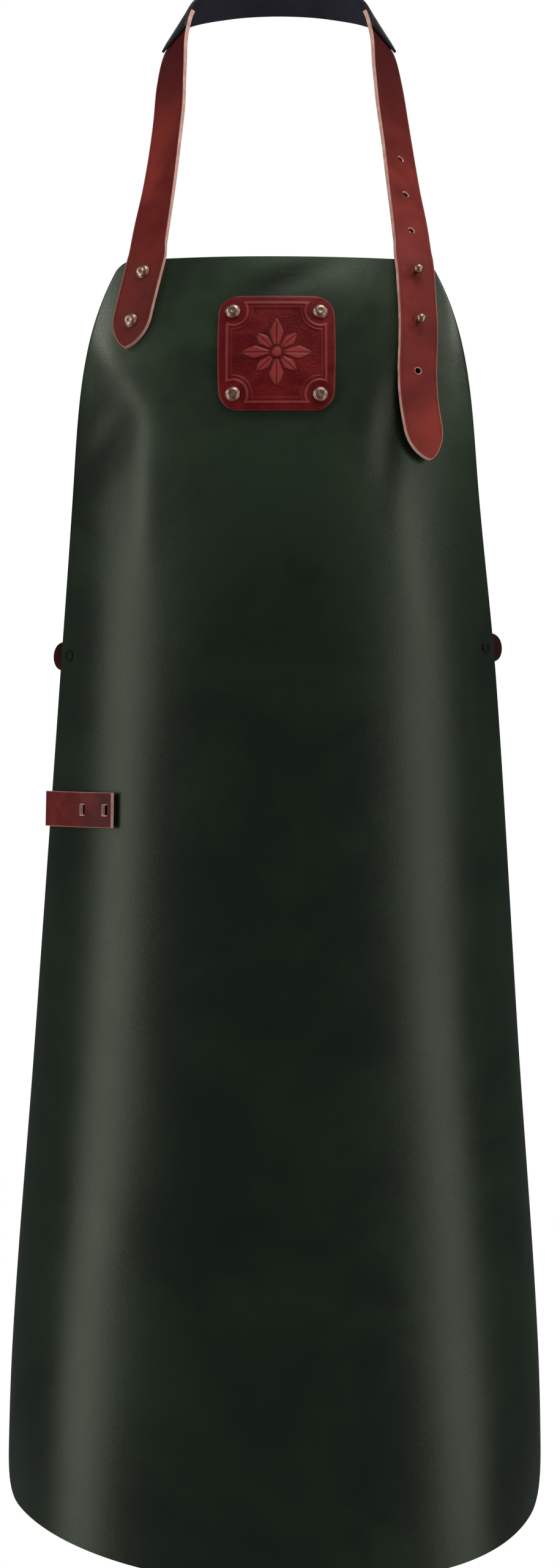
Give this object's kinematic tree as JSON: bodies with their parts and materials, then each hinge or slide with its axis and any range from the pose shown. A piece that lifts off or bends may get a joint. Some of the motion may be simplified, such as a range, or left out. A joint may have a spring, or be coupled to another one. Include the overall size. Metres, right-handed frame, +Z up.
{
  "type": "blacksmith apron",
  "caption": "Long bowed leather work apron with a rounded hem, bib patch, riveted neck straps joined by a nape band, towel loop and waist straps.",
  "frame": {"origin": "middle of the nape band's lower edge, on the face that lies against the neck", "axes": "+Z up, +Y from the apron's front towards the wearer's back, +X to the viewer's right when the front is seen"},
  "size_m": [0.3716, 0.2599, 1.1296],
  "materials": {
    "panel_leather": "smooth, waxed, dark green",
    "strap_leather": "smooth, red-brown",
    "patch_leather": "smooth, tooled, dark red",
    "band_leather": "matt, black",
    "rivet_metal": "antique copper plating",
    "dark_metal": "blackened",
    "clasp_metal": "antique plating"
  },
  "bodies": {
    "root": {"apron_panel": "panel_leather", "fixed_neck_strap": "strap_leather", "adjustable_neck_strap": "strap_leather", "neck_band": "band_leather", "strap_rivet_1": "rivet_metal", "strap_rivet_2": "rivet_metal", "adjuster_stud_1": "rivet_metal", "adjuster_stud_2": "rivet_metal", "badge_patch": "patch_leather", "patch_rivet_1": "rivet_metal", "patch_rivet_2": "rivet_metal", "patch_rivet_3": "rivet_metal", "patch_rivet_4": "rivet_metal", "towel_loop": "strap_leather", "loop_rivet": "rivet_metal", "left_tab": "strap_leather", "left_waist_strap": "strap_leather", "left_tab_rivet": "dark_metal", "right_tab": "strap_leather", "right_waist_strap": "strap_leather", "right_tab_rivet": "dark_metal", "waist_clasp": "clasp_metal"}
  },
  "joints": []
}
